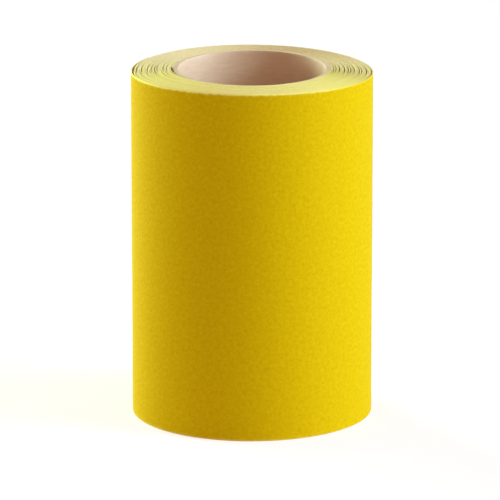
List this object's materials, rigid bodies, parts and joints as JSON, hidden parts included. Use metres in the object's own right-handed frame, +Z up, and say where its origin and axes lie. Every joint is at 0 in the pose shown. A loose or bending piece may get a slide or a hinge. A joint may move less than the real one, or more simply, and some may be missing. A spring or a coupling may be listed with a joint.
{
  "type": "abrasive paper roll",
  "caption": "Roll of yellow coated abrasive paper wound grit side out on a cardboard core, with a loose tail that lifts.",
  "frame": {"origin": "centre of the bottom end, on the core's bore axis", "axes": "+Z up along the bore axis; the winding starts and the sheet's loose end lies on the -X side"},
  "size_m": [0.0789, 0.0785, 0.115],
  "materials": {
    "grit_coat": "matte",
    "paper_backing": "matte",
    "kraft_liner": "matte",
    "core_board": "matte",
    "double_sided_tape": "satin",
    "paper_tape": "matte"
  },
  "bodies": {
    "roll": {"core_inner_liner": "kraft_liner", "core_board_ply_1": "core_board", "core_board_ply_2": "core_board", "core_outer_liner": "kraft_liner", "start_tape": "double_sided_tape", "sheet_backing": "paper_backing", "sheet_grit_coat": "grit_coat"},
    "tail_1": {"tail_backing_1": "paper_backing", "tail_grit_coat_1": "grit_coat"},
    "tail_2": {"tail_backing_2": "paper_backing", "tail_grit_coat_2": "grit_coat"},
    "tail_3": {"tail_backing_3": "paper_backing", "tail_grit_coat_3": "grit_coat"},
    "tail_4": {"tail_backing_4": "paper_backing", "tail_grit_coat_4": "grit_coat"},
    "tail_5": {"tail_backing_5": "paper_backing", "tail_grit_coat_5": "grit_coat"},
    "tail_6": {"tail_backing_6": "paper_backing", "tail_grit_coat_6": "grit_coat", "closing_tape": "paper_tape"}
  },
  "joints": [
    {"name": "tail_lift", "type": "hinge", "parent": "roll", "child": "tail_1", "pos_m": [-0.0199, -0.03423, 0.0575], "axis": [0, 0, 1], "range_deg": [0, 15]},
    {"name": "tail_bend_2", "type": "hinge", "parent": "tail_1", "child": "tail_2", "pos_m": [-0.02808, -0.02795, 0.0575], "axis": [0, 0, 1], "range_deg": [0, 15]},
    {"name": "tail_bend_3", "type": "hinge", "parent": "tail_2", "child": "tail_3", "pos_m": [-0.03436, -0.01976, 0.0575], "axis": [0, 0, 1], "range_deg": [0, 15]},
    {"name": "tail_bend_4", "type": "hinge", "parent": "tail_3", "child": "tail_4", "pos_m": [-0.03831, -0.01023, 0.0575], "axis": [0, 0, 1], "range_deg": [0, 15]},
    {"name": "tail_bend_5", "type": "hinge", "parent": "tail_4", "child": "tail_5", "pos_m": [-0.03966, 0, 0.0575], "axis": [0, 0, 1], "range_deg": [0, 15]},
    {"name": "tail_bend_6", "type": "hinge", "parent": "tail_5", "child": "tail_6", "pos_m": [-0.0383, 0.0103, 0.0575], "axis": [0, 0, 1], "range_deg": [0, 15]}
  ],
  "couplings": [
    {"joint": "tail_bend_2", "follows": "tail_lift", "ratio": 1},
    {"joint": "tail_bend_3", "follows": "tail_lift", "ratio": 1},
    {"joint": "tail_bend_4", "follows": "tail_lift", "ratio": 1},
    {"joint": "tail_bend_5", "follows": "tail_lift", "ratio": 1},
    {"joint": "tail_bend_6", "follows": "tail_lift", "ratio": 1}
  ]
}
